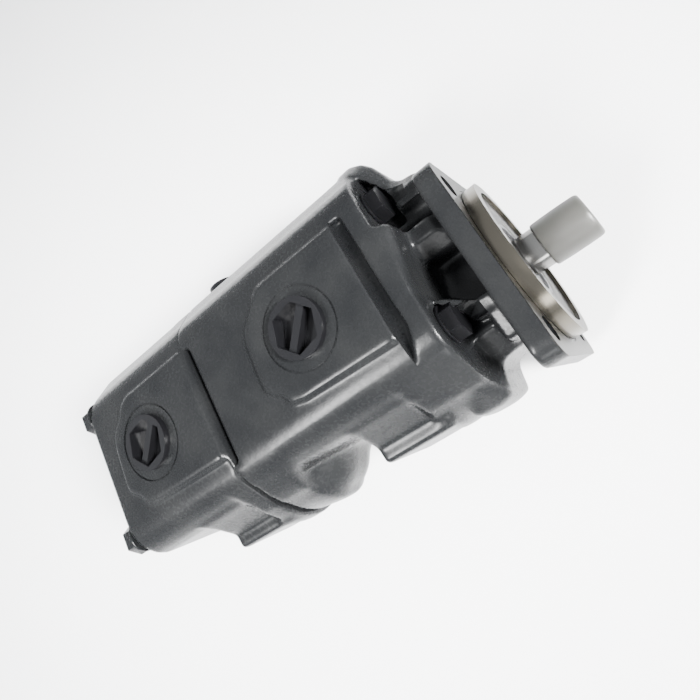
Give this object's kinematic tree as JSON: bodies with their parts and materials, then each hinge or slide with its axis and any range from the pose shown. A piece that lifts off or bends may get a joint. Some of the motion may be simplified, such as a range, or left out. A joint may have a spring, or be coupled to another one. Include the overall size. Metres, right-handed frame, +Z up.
{
  "type": "tandem hydraulic gear pump",
  "caption": "Tandem external gear pump with a square flange, pilot boss, capped splined shaft, plugged outlet ports on the top pads and open inlet ports below.",
  "frame": {"origin": "on the shaft axis, in the face of the mounting flange", "axes": "+Y out of the drive end along the shaft, +Z up out of the outlet pads, +X from the driven gear axis toward the drive gear axis"},
  "size_m": [0.173, 0.3469, 0.1472],
  "materials": {
    "cast_paint": "semi-gloss black paint over a cast surface",
    "shaft_steel": "ground",
    "gear_steel": "ground",
    "block_alloy": "machined",
    "bush_bronze": "satin bronze",
    "plate_brass": "satin",
    "seal_rubber": "matte",
    "spring_steel": "satin",
    "bolt_black": "semi-gloss black paint",
    "plug_plastic": "glossy black",
    "plug_steel": "black",
    "cap_plastic": "translucent satin"
  },
  "bodies": {
    "case": {"front_cover": "cast_paint", "front_housing": "cast_paint", "rear_housing": "cast_paint", "bearing_block_1": "block_alloy", "bearing_block_2": "block_alloy", "bearing_block_3": "block_alloy", "bearing_block_4": "block_alloy", "bushes_1": "bush_bronze", "bushes_2": "bush_bronze", "bushes_3": "bush_bronze", "bushes_4": "bush_bronze", "thrust_plate_1": "plate_brass", "thrust_plate_2": "plate_brass", "thrust_plate_3": "plate_brass", "thrust_plate_4": "plate_brass", "block_seal_1": "seal_rubber", "block_seal_2": "seal_rubber", "block_seal_3": "seal_rubber", "block_seal_4": "seal_rubber", "cover_oring": "seal_rubber", "housing_oring": "seal_rubber", "shaft_seal_inner": "seal_rubber", "shaft_seal_outer": "seal_rubber", "seal_circlip": "spring_steel", "shaft_bush": "bush_bronze", "cover_bolts": "bolt_black", "cover_bolt_washers": "bolt_black", "case_bolts": "bolt_black", "case_bolt_washers": "bolt_black", "dowels_front": "spring_steel", "dowels_rear": "spring_steel", "outlet_plug_front": "plug_plastic", "outlet_plug_rear": "plug_plastic", "gauge_plug": "plug_steel"},
    "drive_shaft": {"drive_gear_shaft": "shaft_steel", "coupling_sleeve": "gear_steel"},
    "front_driven_gear": {"driven_gear_front": "gear_steel"},
    "rear_drive_gear": {"drive_gear_rear": "gear_steel"},
    "rear_driven_gear": {"driven_gear_rear": "gear_steel"},
    "cap": {"shaft_cap": "cap_plastic"}
  },
  "joints": [
    {"name": "drive_spin", "type": "hinge", "parent": "case", "child": "drive_shaft", "pos_m": [0, 0, 0], "axis": [0, 1, 0], "continuous": true},
    {"name": "front_driven_spin", "type": "hinge", "parent": "case", "child": "front_driven_gear", "pos_m": [-0.046, -0.1057, 0], "axis": [0, 1, 0], "continuous": true},
    {"name": "rear_drive_spin", "type": "hinge", "parent": "case", "child": "rear_drive_gear", "pos_m": [0, -0.2398, 0], "axis": [0, 1, 0], "continuous": true},
    {"name": "rear_driven_spin", "type": "hinge", "parent": "case", "child": "rear_driven_gear", "pos_m": [-0.046, -0.2398, 0], "axis": [0, 1, 0], "continuous": true},
    {"name": "cap_pull", "type": "slide", "parent": "drive_shaft", "child": "cap", "axis": [0, 1, 0], "range_m": [0, 0.03]}
  ],
  "couplings": [
    {"joint": "front_driven_spin", "follows": "drive_spin", "ratio": -1},
    {"joint": "rear_drive_spin", "follows": "drive_spin", "ratio": 1},
    {"joint": "rear_driven_spin", "follows": "drive_spin", "ratio": -1}
  ]
}
